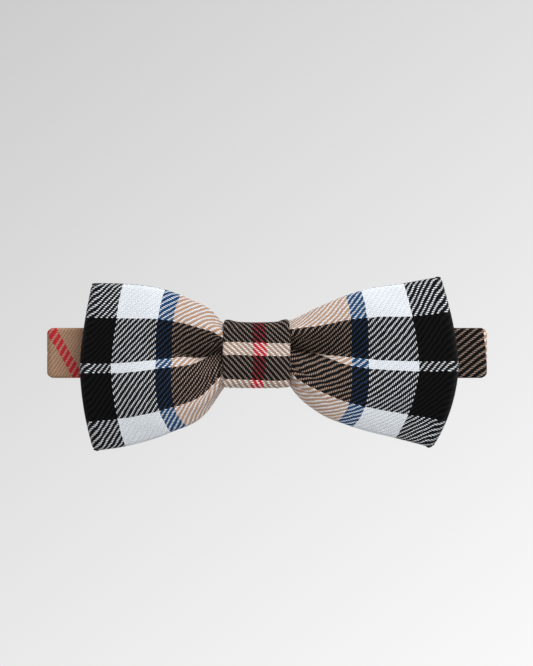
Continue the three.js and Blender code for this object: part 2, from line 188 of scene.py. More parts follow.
class Graph:
    """Short names for the nodes of one material or world."""

    def __init__(self, tree):
        self.tree = tree

    def node(self, kind, **values):
        """A new node with the given settings."""
        node = self.tree.nodes.new(kind)
        for key, value in values.items():
            setattr(node, key, value)
        return node

    def feed(self, socket, value):
        """Link another node's output to a socket, or set its constant value."""
        if isinstance(value, bpy.types.NodeSocket):
            self.tree.links.new(value, socket)
        else:
            socket.default_value = value

    def math(self, operation, *values):
        """The result of one maths node."""
        node = self.node("ShaderNodeMath", operation=operation)
        for socket, value in zip(node.inputs, values):
            self.feed(socket, value)
        return node.outputs[0]

    def line(self, value, slope, start):
        """A straight line: value times slope, plus start."""
        return self.math("MULTIPLY_ADD", value, slope, start)

    def rest(self, value):
        """What is left of 1."""
        return self.math("SUBTRACT", 1.0, value)

    def product(self, first, *others):
        for other in others:
            first = self.math("MULTIPLY", first, other)
        return first

    def bell(self, value):
        """A half sine wave: 0 at both ends of 0 to 1, and 1 in the middle."""
        return self.math("SINE", self.math("MULTIPLY", value, math.pi))

    def mix(self, share, a, b, blend="MIX"):
        """Colour a blended with colour b."""
        node = self.node("ShaderNodeMix", data_type="RGBA", blend_type=blend)
        self.feed(node.inputs["Factor"], share)
        self.feed(node.inputs["A"], a)
        self.feed(node.inputs["B"], b)
        return node.outputs["Result"]

    def grey(self, value):
        """A colour with the same red, green and blue."""
        node = self.node("ShaderNodeCombineColor")
        for socket in node.inputs:
            self.feed(socket, value)
        return node.outputs[0]

    def luma(self, colour):
        """How light a colour is."""
        node = self.node("ShaderNodeRGBToBW")
        self.feed(node.inputs[0], colour)
        return node.outputs[0]

    def axes(self, vector):
        """The three parts of a vector."""
        node = self.node("ShaderNodeSeparateXYZ")
        self.feed(node.inputs[0], vector)
        return node.outputs

    def smooth_range(self, value, low, high):
        """0 below low, 1 above high, an S curve between."""
        node = self.node("ShaderNodeMapRange", interpolation_type="SMOOTHSTEP")
        self.feed(node.inputs["Value"], value)
        node.inputs["From Min"].default_value = low
        node.inputs["From Max"].default_value = high
        return node.outputs["Result"]

    def noise(self, vector, scale, detail=2.0, roughness=0.5):
        """Smooth noise from about 0 to 1. scale is its features per unit of the vector."""
        node = self.node("ShaderNodeTexNoise")
        self.feed(node.inputs["Vector"], vector)
        node.inputs["Scale"].default_value = scale
        node.inputs["Detail"].default_value = detail
        node.inputs["Roughness"].default_value = roughness
        return node.outputs["Fac"]

    def steps(self, place, stops):
        """Bands of plain colour along 0 to 1, each from its own place on."""
        node = self.node("ShaderNodeValToRGB")
        self.feed(node.inputs[0], place)
        ramp = node.color_ramp
        ramp.interpolation = "CONSTANT"
        for k, (where, colour) in enumerate(stops):
            stop = ramp.elements[k] if k < 2 else ramp.elements.new(where)
            stop.position = where
            stop.color = colour
        return node.outputs[0]

    def relief(self, shader, height, distance, strength=1.0):
        """A bump on the shader's surface; distance in mm."""
        node = self.node("ShaderNodeBump")
        node.inputs["Strength"].default_value = strength
        node.inputs["Distance"].default_value = distance * MM
        self.feed(node.inputs["Height"], height)
        self.feed(shader.inputs["Normal"], node.outputs[0])


def new_material(name):
    """An empty material, the Graph of its nodes and its Principled shader."""
    material = bpy.data.materials.new(name)
    material.use_nodes = True
    tree = material.node_tree
    tree.nodes.clear()
    shader = tree.nodes.new("ShaderNodeBsdfPrincipled")
    output = tree.nodes.new("ShaderNodeOutputMaterial")
    tree.links.new(shader.outputs[0], output.inputs["Surface"])
    return material, Graph(tree), shader


def linear(red, green, blue):
    """An everyday 0 to 255 colour as scene-linear RGBA."""
    def one(c):
        c = c / 255
        return c / 12.92 if c <= 0.04045 else ((c + 0.055) / 1.055) ** 2.4
    return (one(red), one(green), one(blue), 1.0)


BLACK = linear(17, 17, 19)
WHITE = linear(232, 237, 243)
BLUE = linear(20, 66, 110)
TAN = linear(180, 143, 117)
RED = linear(196, 30, 46)
CREAM = linear(255, 247, 241)
KNOT_TAN = linear(160, 134, 117)


# features per mm of cloth: how yarns wander, flecks of wool, slow patches of shade, and loose hair
WANDER_GRAIN, FLECK_GRAIN, PATCH_GRAIN, HAIR_GRAIN = 0.35, 9.0, 0.12, 22.0
STRAY = 0.55  # mm between the farthest places that a wandering yarn reaches
RELIEF = 0.09  # mm that the yarns stand out
DARK_BLEED = 0.14  # share of the darker yarn's colour in every yarn


def stripes(g, place, bands):
    """Yarn colours along one direction. bands are (start, colour), with the length of their repeat."""
    starts, repeat = bands
    first = starts[0][0]
    share = g.math("FRACT", g.math("DIVIDE", g.math("SUBTRACT", place, first), repeat))
    return g.steps(share, [((start - first) / repeat, colour) for start, colour in starts])


def crossings(g, weave, yarn, lean):
    """The yarns of a 2/2 twill: the place (u, v) and whole numbers (i, j) of the two yarns that cross,
    whether the one along v is over, and how high the one that shows stands."""
    place_u, place_v, _ = g.axes(weave)
    wander = g.noise(weave, WANDER_GRAIN, 3.0)
    stray = g.math("MULTIPLY", g.math("SUBTRACT", wander, 0.5), STRAY)
    u = g.math("DIVIDE", g.math("ADD", place_u, stray), yarn)
    v = g.math("DIVIDE", g.math("SUBTRACT", place_v, stray), yarn)
    i, j = g.math("FLOOR", u), g.math("FLOOR", v)
    a, b = g.math("FRACT", u), g.math("FRACT", v)
    step = g.math("FLOORED_MODULO", g.math("SUBTRACT", i, g.math("MULTIPLY", j, float(lean))), 4.0)
    over = g.math("LESS_THAN", step, 1.5)
    # a float is two crossings long, and stands highest in its middle
    back = b if lean < 0 else g.rest(b)
    along_v = g.math("MULTIPLY", g.math("ADD", step, back), 0.5)
    along_u = g.math("MULTIPLY", g.math("ADD", g.math("SUBTRACT", step, 2.0), a), 0.5)
    lifts = [g.product(g.math("POWER", g.bell(side), 0.6), g.line(g.bell(along), 0.45, 0.55))
             for side, along in ((a, along_v), (b, along_u))]
    lift = g.math("ADD", g.product(over, lifts[0]), g.product(g.rest(over), lifts[1]))
    return u, v, i, j, over, lift


def yarn_colour(g, over, lift, warp, weft):
    """The colour of the yarn that shows, and the lightness of the darker of the two that cross. A dark
    yarn's hair and shadow hide the sides of a pale one, and take some of its colour."""
    own = g.mix(over, weft, warp)
    dark = g.mix(1.0, warp, weft, "DARKEN")
    dark_luma = g.luma(dark)
    hide = g.math("MAXIMUM", g.line(dark_luma, -1.8, 1.0), 0.1)
    sides = g.product(g.rest(g.smooth_range(lift, 0.5, 0.86)), hide)
    faded = g.product(g.math("POWER", hide, 6.0), 0.35)
    own = g.mix(faded, own, g.grey(g.luma(own)))
    own = g.mix(DARK_BLEED, own, dark)
    return g.mix(sides, own, dark), dark_luma


def twill(name, columns, rows, lean=1, ridges=1.0, yarn=YARN):
    """A 2/2 wool twill. columns colour the yarns that run along v, rows those that run along u.
    lean is the way its diagonal goes, and ridges how many show to one repeat of four yarns."""
    material, g, shader = new_material(name)
    weave = g.node("ShaderNodeAttribute", attribute_name="weave").outputs["Vector"]
    u, v, i, j, over, lift = crossings(g, weave, yarn, lean)
    # each yarn has one colour, read at its own middle
    warp = stripes(g, g.product(g.math("ADD", i, 0.5), yarn), columns)
    weft = stripes(g, g.product(g.math("ADD", j, 0.5), yarn), rows)
    colour, dark_luma = yarn_colour(g, over, lift, warp, weft)
    # the diagonal ridges show by themselves where both yarns have one colour: painted shade in the furrows
    # between them, deeper on darker yarn, and a bump
    contrast = g.math("ABSOLUTE", g.math("SUBTRACT", g.luma(warp), g.luma(weft)))
    same = g.math("MAXIMUM", g.line(contrast, -10.0, 1.0), 0.0)
    turn = g.product(g.math("SUBTRACT", u, g.math("MULTIPLY", v, float(lean))), ridges * math.pi / 2)
    ridge = g.line(g.math("COSINE", turn), 0.5, 0.5)
    strength = g.math("MAXIMUM", g.line(dark_luma, -1.9, 0.95), 0.1)
    furrow_shade = g.product(g.rest(ridge), same, strength)
    # wool: flecks in the yarn, slow patches, and painted shade between the yarns, where each stands lowest,
    # and in the furrows
    fleck = g.noise(weave, FLECK_GRAIN, 3.0, 0.7)
    patch = g.noise(weave, PATCH_GRAIN)
    shade = g.product(g.line(fleck, 0.5, 0.77), g.line(patch, 0.14, 0.93), g.line(lift, 0.5, 0.6),
                      g.rest(furrow_shade))
    g.feed(shader.inputs["Base Color"], g.mix(1.0, colour, g.grey(shade), "MULTIPLY"))
    hair = g.line(g.noise(weave, HAIR_GRAIN, 2.0, 0.6), 0.25, lift)
    g.relief(shader, g.line(ridge, 0.8, hair), RELIEF, 0.8)
    g.feed(shader.inputs["Roughness"], g.line(fleck, 0.16, 0.8))
    shader.inputs["Specular IOR Level"].default_value = 0.06
    shader.inputs["Sheen Weight"].default_value = 0.03
    shader.inputs["Sheen Roughness"].default_value = 0.5
    shader.inputs["Sheen Tint"].default_value = (1.0, 0.98, 0.95, 1.0)
    return material


def plain(name, base, roughness, metal, scale, spread, bump_depth):
    """A finish whose colour and roughness wander a little. scale is its grain in features per metre."""
    material, g, shader = new_material(name)
    grain = g.noise(g.node("ShaderNodeTexCoord").outputs["Object"], scale, 3.0, 0.6)
    shade = g.line(grain, spread, 1 - spread / 2)
    g.feed(shader.inputs["Base Color"], g.mix(1.0, base, g.grey(shade), "MULTIPLY"))
    g.feed(shader.inputs["Roughness"], g.line(grain, 0.2, roughness - 0.1))
    shader.inputs["Metallic"].default_value = metal
    g.relief(shader, grain, bump_depth)
    return material


# yarn colours as (where each starts, colour) in mm, and the length after which they repeat
BOW_COLUMNS = ([(-66.0, BLACK), (-49.7, WHITE), (-34.2, BLUE), (-28.5, TAN), (-2.15, RED), (2.15, TAN),
                (28.5, BLUE), (34.2, WHITE), (49.7, BLACK)], 132.0)
BOW_ROWS = ([(-27.0, WHITE), (-16.0, BLACK), (-1.7, WHITE), (1.7, BLACK), (16.0, WHITE), (27.0, BLACK)],
            81.0)
KNOT_COLUMNS = ([(-20.0, KNOT_TAN), (-1.1, RED), (3.0, KNOT_TAN)], 40.0)
KNOT_ROWS = ([(-8.0, BLACK), (-0.6, CREAM), (3.3, BLACK), (20.0, CREAM)], 34.0)
BAND_LEFT_COLUMNS = ([(-86.0, BLUE), (-80.0, TAN), (-54.5, RED), (-51.2, TAN), (-26.0, BLUE),
                      (-20.0, WHITE), (-4.0, BLACK), (12.0, WHITE), (28.0, BLUE)], 120.0)
BAND_LEFT_ROWS = ([(-22.0, TAN), (10.0, BLACK), (24.0, WHITE), (28.0, BLACK)], 64.0)
BAND_RIGHT_COLUMNS = ([(-8.0, TAN), (22.0, BLACK), (54.4, CREAM), (59.0, BLUE), (64.0, TAN)], 84.0)
BAND_RIGHT_ROWS = ([(-12.0, TAN), (12.0, BLACK)], 26.0)

bow_cloth = twill("bow_twill", BOW_COLUMNS, BOW_ROWS)
knot_cloth = twill("knot_twill", KNOT_COLUMNS, KNOT_ROWS, lean=-1, yarn=KNOT_YARN)
band_left_cloth = twill("band_left_twill", BAND_LEFT_COLUMNS, BAND_LEFT_ROWS, lean=-1, ridges=2.0)
band_right_cloth = twill("band_right_twill", BAND_RIGHT_COLUMNS, BAND_RIGHT_ROWS, lean=-1)
fleece = plain("fleece", linear(232, 228, 216), 0.9, 0.0, 2500.0, 0.2, 0.1)
thread = plain("thread", linear(120, 96, 76), 0.75, 0.0, 3000.0, 0.3, 0.05)
nickel = plain("nickel", linear(198, 196, 190), 0.3, 1.0, 900.0, 0.12, 0.01)


# ---------------------------------------------------------------- bow

# One wing, seen from the front. Outlines are (distance from the middle, height), and pairs of values go
# from the knot's side to the outer fold.
#   edge                       how far out the wing reaches
#   top, bottom, valley        its top and bottom edges, and the valley between its two lobes
#   pull_top, pull_bottom      how far a lobe's edge lags behind the middle of the wing
#   spread_top, spread_bottom  how much the lines across crowd towards a lobe's edge
#   row                        where along the wing (t) the pale middle row comes out of the valley
#   column                     the cloth's u at some distances from the middle
#   creases                    small folds that fan out of the pinch: place across, height, width, length
WINGS = {
    -1: dict(
        edge=56.1,
        top=[(0, 8.2), (10.5, 8.6), (15.6, 14.3), (20.5, 17.1), (28, 20.1), (42.7, 22.3), (52.3, 22.5)],
        bottom=[(0, -9), (10.5, -9.6), (17, -19.2), (26.5, -24.4), (41.5, -29.2), (51.8, -30.7)],
        valley=[(0, 1.3), (10.5, 1.3), (16.7, -1.9), (26, -2.7), (44, -4.3), (60, -4.3)],
        pull_top=(3.0, 3.8), pull_bottom=(5.2, 4.3),
        spread_top=(0.08, -0.1), spread_bottom=(0.45, 0.15),
        row=(0.08, 0.33),
        column=[(0, 0), (27.0, 28.5), (32.3, 34.2), (45.9, 49.7), (56.1, 61.6), (150, 156)],
        creases=[(0.62, 0.7, 0.12, 0.22), (-0.3, 0.4, 0.09, 0.25), (-0.5, -0.6, 0.08, 0.2),
                 (-0.72, 0.7, 0.1, 0.22), (0.36, -0.6, 0.08, 0.2)],
    ),
    1: dict(
        edge=64.1,
        top=[(0, 8.6), (10.6, 9.8), (20.3, 14.8), (27.6, 18.2), (32.8, 20), (47.1, 22.5), (58.5, 24.6)],
        bottom=[(0, -8.6), (10.6, -9), (14, -13.3), (20.3, -18.7), (29, -22.4), (44.6, -26.7),
                (55.7, -29.7)],
        valley=[(0, 1.6), (10.9, 1.6), (22.7, -1.3), (30.6, -2.7), (48, -3.7), (66, -3.7)],
        pull_top=(2.1, 5.6), pull_bottom=(4.8, 8.4),
        spread_top=(0.25, -0.05), spread_bottom=(0.3, 0.25),
        row=(0.15, 0.42),
        column=[(0, 0), (29.7, 28.5), (35.4, 34.2), (50.9, 49.7), (63.3, 63.0), (150, 149)],
        creases=[(0.55, 0.6, 0.12, 0.25), (-0.26, 0.4, 0.08, 0.25), (-0.42, -0.5, 0.08, 0.22),
                 (-0.58, 0.4, 0.08, 0.22), (-0.72, -0.5, 0.07, 0.2), (0.34, -0.6, 0.08, 0.2)],
    ),
}
ROW_HALF = 1.7  # half the pale middle row
ROW_TUCKED = 0.04  # the share of that row that still shows next to the knot
ROLL = 3.4  # how far the round outer fold reaches in from the wing's edge
ROLL_CLOTH = 0.585 * ROLL  # cloth that each radian of the outer fold takes
BACK_PLANE = node_box("bow_cloth")[1][1] - BOW_THICK / 2 - 0.1  # y of the back layer's middle
PINCH_FLOOR = 7.9  # how far in front of the knot's back face the valley's bottom starts
CREST = 14.2  # how far in front of it the lobes' crests start

BOW_LINES = 83  # lines along the bow
# lines across it: t on the front and back layers, the turn round the outer fold, and x inside the knot
FRONT_LINES = np.linspace(0, 1, 58)
FOLD_TURNS = np.linspace(0, math.pi, 15)[1:]
BACK_LINES = np.linspace(1, 0, 40)[1:]
KNOT_LINES = np.linspace(0, KNOT_SIDE, 9)[:-1]
KNOT_SQUEEZE = 0.82  # the bow's height at the middle of the knot, as a share of that at its sides


def wing_front(side, t, s):
    """Middle surface of a wing's front layer. t runs 0 to 1 from knot to outer fold, s -1 to 1 across."""
    wing = WINGS[side]
    size = np.abs(s)
    reach = KNOT_SIDE + (wing["edge"] - ROLL - KNOT_SIDE) * t
    # the lobes' edges lag behind the middle, so that the lines across are bowed
    pull_top, pull_bottom = (inner * smooth(t, 0.0, 0.42) + (outer - inner) * smooth(t, 0.35, 1.0)
                             for inner, outer in (wing["pull_top"], wing["pull_bottom"]))
    power = 3.2 - 1.6 * smooth(t, 0.3, 0.8)
    x = reach - np.where(s > 0, pull_top, pull_bottom) * size ** power
    # height: from the valley up to the top edge and down to the bottom one
    valley = hermite(reach, wing["valley"])
    top = hermite(reach - pull_top, wing["top"])
    bottom = hermite(reach - pull_bottom, wing["bottom"])
    ease = smooth(t, 0.1, 0.9)
    up, down = (size + (inner + (outer - inner) * ease) * size * (1 - size)
                for inner, outer in (wing["spread_top"], wing["spread_bottom"]))
    z = valley + np.where(s > 0, up * (top - valley), down * (bottom - valley))
    # depth: the lobes' crests, the valley between them, and edges that curl to the back
    crest = CREST + 2.4 * smooth(t, 0.0, 0.25) - 3.8 * smooth(t, 0.45, 1.0)
    near = np.exp(-(t / 0.4) ** 2.2)
    dip = (crest - PINCH_FLOOR) * near + 0.9 * hump(t, 0, 0.5) * (1 - near)
    from_valley = s - 0.04 - 0.09 * smooth(t, *wing["row"]) * (1 - smooth(t, 0.5, 1.0))
    wide = np.where(from_valley > 0, 0.26, 0.32) + 0.16 * smooth(t, 0.0, 0.6)
    valley_shape = np.exp(-(np.abs(from_valley) / wide) ** 1.2)
    curl = 2.0 + 4.8 * np.exp(-(t / 0.3) ** 1.4)
    y = -crest + dip * valley_shape + curl * size ** 3.2
    for place, height, width, length in wing["creases"]:
        y = y - height * hump(s, place, width * (0.6 + t)) * np.exp(-(t / length) ** 1.5)
    return np.stack([side * x, y, z], -1)


def wing_fold(side, rim, s):
    """The round outer fold, from the front layer's rim to the back layer."""
    wing = WINGS[side]
    turn = FOLD_TURNS[:, None]
    # each line across the wing still climbs or drops on its way round
    top, bottom = (hermite(x + ROLL, wing[name]) - hermite(x, wing[name])
                   for x, name in ((side * rim[-1, 0], "top"), (side * rim[0, 0], "bottom")))
    climb = np.where(s > 0, top, bottom) * np.abs(s)
    flare = ROLL - edge_profile(s, BOW_THICK, BOW_HALF_WIDTH, BOW_EDGE_ROUND)
    x = rim[:, 0] + side * flare * np.sin(turn)
    y = (rim[:, 1] + BACK_PLANE) / 2 - (BACK_PLANE - rim[:, 1]) / 2 * np.cos(turn)
    z = rim[:, 2] + climb * np.sin(turn) - 0.02 * rim[:, 2] * (1 - np.cos(turn)) / 2
    return np.stack([x, y, z], -1)


def wing_back(side, s):
    """The back layer: the front layer's outline, a little smaller, and nearly flat."""
    back = np.stack([wing_front(side, t, s) for t in BACK_LINES])
    smaller = 0.98 - 0.03 * (1 - BACK_LINES)[:, None]
    mid_z = back[:, len(s) // 2, None, 2]
    back[..., 2] = mid_z + (back[..., 2] - mid_z) * smaller
    sag = 0.9 * np.sin(math.pi * BACK_LINES) ** 2
    back[..., 1] = BACK_PLANE - sag[:, None] * (1 - s ** 2)
    return back


def inside_knot(side, line, nearer):
    """From the middle of the knot to the given line at its side. nearer draws it towards the band."""
    share = (KNOT_LINES / KNOT_SIDE)[:, None]
    x = side * KNOT_LINES[:, None]
    y = line[:, 1] * (1 - nearer * (1 - share))
    z = line[:, 2] * (KNOT_SQUEEZE + (1 - KNOT_SQUEEZE) * share ** 2)
    return np.stack(np.broadcast_arrays(x, y, z), -1)


def row_place(side, t, s):
    """The cloth's v on each line across. Near the knot its pale middle row is tucked into the valley."""
    cloth_v = [-BOW_HALF_WIDTH, -ROW_HALF, ROW_HALF, BOW_HALF_WIDTH]
    lines = []
    for share in np.clip(smooth(t, *WINGS[side]["row"]), ROW_TUCKED, 1):
        shown = share * ROW_HALF / BOW_HALF_WIDTH
        lines.append(np.interp(s, [-1, -shown, shown, 1], cloth_v))
    return np.stack(lines)


def half_bow(side, s):
    """One wing from the knot's middle, out and back to it again: its surface and the cloth's u and v."""
    front = np.stack([wing_front(side, t, s) for t in FRONT_LINES])
    back = wing_back(side, s)
    surface = np.concatenate([inside_knot(side, front[0], 0.06), front, wing_fold(side, front[-1], s),
                              back, inside_knot(side, back[-1], 0.0)[::-1]])
    # how far along the wing each line is, 0 to 1 on the front and 1 to 2 on the back, and in mm of cloth
    t = np.concatenate([FRONT_LINES, np.ones(len(FOLD_TURNS)), 2 - BACK_LINES])
    rolled = np.concatenate([0 * FRONT_LINES, ROLL_CLOTH * FOLD_TURNS,
                             np.full(len(BACK_LINES), ROLL_CLOTH * math.pi)])
    run = KNOT_SIDE + (WINGS[side]["edge"] - ROLL - KNOT_SIDE) * t + rolled
    run = np.concatenate([KNOT_LINES, run, run[-1] + KNOT_SIDE - KNOT_LINES[::-1]])
    u = side * np.interp(run, *np.array(WINGS[side]["column"], float).T)
    t = np.concatenate([0 * KNOT_LINES, t, 2 + 0 * KNOT_LINES])
    return surface, u, row_place(side, t, s)


def build_bow():
    """The bow's cloth, and its middle surface for the lining."""
    s = across(BOW_LINES)
    s = s * (1 - 0.5 * hump(s, 0, 0.2))
    # one strip: back middle, left wing, front middle, right wing, back middle
    halves = zip(half_bow(-1, s), half_bow(1, s))
    middle, u, v = (np.concatenate([left[::-1], right[1:]]) for left, right in halves)
    into_edge = np.clip((np.abs(s) - 0.93) / 0.07, 0, 1)
    v = v + np.sign(s) * 0.9 * into_edge ** 2
    weave = np.stack(np.broadcast_arrays(u[:, None], v), -1)
    profile = edge_profile(s, BOW_THICK, BOW_HALF_WIDTH, BOW_EDGE_ROUND)
    bow = strip("bow_loop", middle, np.broadcast_to(profile, middle.shape[:2]), weave)
    bow.data.materials.append(bow_cloth)
    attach(bow, "bow")
    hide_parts("bow_cloth")
    return middle


# ---------------------------------------------------------------- knot

KNOT_CORNER, KNOT_LOWER_CORNER = 3.0, 1.3  # radii of the wrap's corners, and of the lower front one
KNOT_CROWN = 0.7  # how far the middle of its front stands out
KNOT_GATHER = 0.22  # depth of the soft gathers across its front
KNOT_ALONG = 45  # lines along the wrap
KNOT_STEP = 0.7  # from one line across it to the next


def wrap_path(front, rear, low, top, corner, lower_corner):
    """A rounded box in (y, z): from the middle of the rear, down, up the front and back over the top."""
    corners = [(rear - corner, low + corner, corner),
               (front + lower_corner, low + lower_corner, lower_corner),
               (front + corner, top - corner, corner),
               (rear - corner, top - corner, corner)]
    path = [(rear, (low + top) / 2)]
    for quarter, (y, z, radius) in enumerate(corners):
        for angle in np.linspace(0, math.pi / 2, 9):
            turn = -quarter * math.pi / 2 - angle
            path.append((y + radius * math.cos(turn), z + radius * math.sin(turn)))
    path.append((rear, (low + top) / 2 + 0.01))
    return path


def knot_surface(points, s):
    """The wrap's middle surface, worked from its plain (y, z) path and the places s across it."""
    x, y, z = (np.array(part) for part in np.broadcast_arrays(
        s * (KNOT_SIDE - 0.05), points[:, :1], points[:, 1:]))
    ahead = smooth(-y, 4.0, 14.0)
    height = (z - KNOT_LOW[2]) / (KNOT_HIGH[2] - KNOT_LOW[2])
    belly = np.sin(math.pi * np.clip(height, 0, 1))
    # crowned front, sides a little fuller below the top
    y -= ahead * KNOT_CROWN * (1 - np.abs(s) ** 2.5) * belly
    x *= 1 + 0.02 * belly * ahead - 0.015 * smooth(height, 0.75, 1)
    # corners raised above a dipped top, and a bottom whose middle sags a little
    corners = 0.55 * hump(s, 0.86, 0.14) + 0.45 * hump(s, -0.86, 0.16)
    z += smooth(z, 6.0, 10.0) * (corners - 0.55 * (1 - s ** 2))
    z += smooth(-z, 7.0, 10.0) * 0.25 * (s ** 2 - 0.6)
    # soft gathers across the front
    y -= ahead * KNOT_GATHER * np.sin(6.0 * s + 0.35 * z) * (1 - s ** 2)
    return np.stack([x, y, z], -1)


def build_knot():
    """The wrap round the pinch, and its middle surface for the lining."""
    t = KNOT_THICK / 2
    path = wrap_path(KNOT_FRONT + t + 0.5, -t, KNOT_LOW[2] + t, KNOT_HIGH[2] - t,
                     KNOT_CORNER, KNOT_LOWER_CORNER)
    points, run = even_path(path, KNOT_STEP)
    s = across(KNOT_ALONG)
    middle = knot_surface(points, s)
    # the cloth's v is the height at the middle of the front, and its columns lean a little
    front_rows = np.where(points[:, 0] - points[:, 0].min() < 0.05)[0]
    centre = front_rows[len(front_rows) // 2]
    v = run - run[centre] + points[centre, 1]
    slant = np.interp(v, [-12, -6, 0, 8], [1.3, 0.5, 0.0, 0.4])
    u = s * KNOT_SIDE + slant[:, None]
    weave = np.stack([u, v[:, None] + 0.2 * np.sin(2.2 * s)], -1)
    profile = edge_profile(s, KNOT_THICK, KNOT_SIDE, KNOT_EDGE_ROUND)
    knot = strip("knot_band", middle, np.broadcast_to(profile, middle.shape[:2]), weave, flip=True)
    knot.data.materials.append(knot_cloth)
    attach(knot, "bow")
    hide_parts("knot_wrap")
    return middle


def lining(name, node, middle, inset, thick):
    """The stiff strip inside the bow or knot: the cloth's middle surface, less inset lines at each edge."""
    part = middle[:, inset:-inset]
    s = np.linspace(-1, 1, part.shape[1])
    half = np.broadcast_to(edge_profile(s, thick, BOW_HALF_WIDTH, thick), part.shape[:2])
    piece = strip(name, part, half, part[..., ::2])
    piece.data.materials.append(fleece)
    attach(piece, "bow")
    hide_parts(node)


# ---------------------------------------------------------------- neck band

def middle_y(node):
    """The y of the middle of a frame node."""
    low, high = node_box(node)
    return low[1] + (high[1] - low[1]) * 0.5


BAND_Y = middle_y("band_centre")
INNER_Y = middle_y("left_tail_inner")
OUTER_Y = middle_y("left_tail_outer")
RETURN_Y = middle_y("return_strap")
TAB_FOLD_Y = (BAND_Y + INNER_Y) / 2
MID_FOLD_Y = (INNER_Y + OUTER_Y) / 2
BAR_Y = (RETURN_Y + OUTER_Y) / 2
FOLD = (INNER_Y - BAND_Y) / 2  # radius of the strap's folds
LOOP = (RETURN_Y - OUTER_Y) / 2  # radius of its loops round the metal bars

# the x of where things are along the strap
LEFT_RUN, RIGHT_RUN = BAND_LOW[0], BAND_HIGH[0]
LEFT_TAB = node_box("left_tab_fold")[0][0]
RIGHT_TAB = node_box("right_tab_fold")[1][0]
MID_FOLD = node_box("right_tail_outer")[0][0]
EYE_BAR = node_box("left_tail_outer")[0][0] - 0.3
EYE_END = node_box("left_end_loop")[1][0]
HOOK_BAR = node_box("strap_end_loop")[0][0]
SLIDER = (node_box("slide_adjuster")[0][0] + node_box("slide_adjuster")[1][0]) / 2
LEFT_SEAM, RIGHT_SEAM, TAIL_SEAM = -35.0, 38.0, 12.0  # where one length of strap meets the next
STRAP_ALONG = 41  # lines along the strap
STRAP_STEP = 0.8  # from one line across it to the next
TAB_CORNER = 1.1  # radius of the tabs' outer corners


def way_round(x, y, out, back, angle=math.pi, count=15):
    """Plan points round a fold or bar at (x, y), out to one side of it and on to the next layer."""
    return [(x + out * math.sin(a), y - back * math.cos(a)) for a in np.linspace(0, angle, count)[1:]]


def left_weave(run, z):
    """The left half is cut on the bias, so its yarns cross the strap."""
    return -0.857 * run + 0.48 * z, -0.133 * run - 1.087 * z


def right_weave(run, z):
    """The right half is cut nearly along its yarns."""
    return 0.75 * run + 0.08 * z, -z


def strap(name, path, start_run, left=False, tab=None):
    """A flat doubled strap along a plan path, and the running length at its end. tab is the x of a fold
    whose corners are rounded, measured at the strap's middle surface."""
    points, run = even_path(path, STRAP_STEP)
    s = across(STRAP_ALONG)
    half_height = np.full(len(points), BAND_HALF)
    if tab is not None:
        into = np.clip(TAB_CORNER - np.abs(tab - points[:, 0]), 0, TAB_CORNER)
        half_height -= TAB_CORNER - np.sqrt(TAB_CORNER ** 2 - into ** 2)
    z = BAND_MID + half_height[:, None] * s
    middle = np.stack(np.broadcast_arrays(points[:, :1], points[:, 1:], z), -1)
    along = np.broadcast_to((run + start_run)[:, None], z.shape)
    weave_of, cloth = (left_weave, band_left_cloth) if left else (right_weave, band_right_cloth)
    weave = np.stack(weave_of(along, z - BAND_MID), -1)
    # a little thinner at the sewn middle
    profile = edge_profile(s, STRAP_THICK, BAND_HALF, STRAP_THICK / 2)
    profile = profile * (1 - 0.12 * hump(s * BAND_HALF, 0, 0.5))
    piece = strip(name, middle, np.broadcast_to(profile, z.shape), weave, left, True)
    piece.data.materials.append(cloth)
    return piece, run[-1] + start_run


def build_left_band():
    """The band's left half, folded to the back twice, up to the loop round the eye."""
    path = [(0.0, BAND_Y), (LEFT_RUN, BAND_Y)]
    path += way_round(LEFT_RUN, TAB_FOLD_Y, -FOLD, FOLD)
    path += [(LEFT_SEAM, INNER_Y)]
    piece, run = strap("band_left", path, 0.0, True, LEFT_TAB + STRAP_THICK / 2)
    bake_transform(piece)
    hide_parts("band_centre", "left_tab_fold", "left_tail_inner")

    path = [(LEFT_SEAM, INNER_Y), (-MID_FOLD, INNER_Y)]
    path += way_round(-MID_FOLD, MID_FOLD_Y, FOLD, FOLD)
    path += [(EYE_BAR, OUTER_Y)]
    path += way_round(EYE_BAR, BAR_Y, -LOOP, LOOP)
    path += [(EYE_END, RETURN_Y)]
    piece, _ = strap("left_tail", path, run, True)
    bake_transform(piece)
    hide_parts("left_mid_fold", "left_tail_outer", "left_end_loop")


def build_right_band():
    """The right half, folded to the back twice, round the hook's bar and back to the slide adjuster."""
    path = [(0.0, BAND_Y), (RIGHT_RUN, BAND_Y)]
    path += way_round(RIGHT_RUN, TAB_FOLD_Y, FOLD, FOLD)
    path += [(RIGHT_SEAM, INNER_Y)]
    piece, run = strap("band_right", path, 0.0, tab=RIGHT_TAB - STRAP_THICK / 2)
    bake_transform(piece)
    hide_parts("right_tab_fold", "right_tail_inner")

    path = [(RIGHT_SEAM, INNER_Y), (MID_FOLD, INNER_Y)]
    path += way_round(MID_FOLD, MID_FOLD_Y, -FOLD, FOLD)
    path += [(TAIL_SEAM, OUTER_Y)]
    piece, run = strap("right_tail", path, run)
    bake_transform(piece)
    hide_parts("right_mid_fold", "right_tail_outer")

    # the run to the hook stretches as the slide adjuster lets strap through
    piece, run = strap("right_tail_run", [(TAIL_SEAM, OUTER_Y), (HOOK_BAR, OUTER_Y)], run)
    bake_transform(piece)

    path = [(HOOK_BAR, OUTER_Y)]
    path += way_round(HOOK_BAR, BAR_Y, LOOP, LOOP)
    path += [(SLIDER, RETURN_Y)]
    path += way_round(SLIDER, BAR_Y, -LOOP, -LOOP, math.pi * 0.55, 9)
    piece, _ = strap("return_run", path, run)
    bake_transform(piece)
    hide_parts("strap_end_loop", "return_strap", "adjuster_strap_end")


# ---------------------------------------------------------------- thread

THREAD_RADIUS = 0.2
TACK_STITCHES = 26


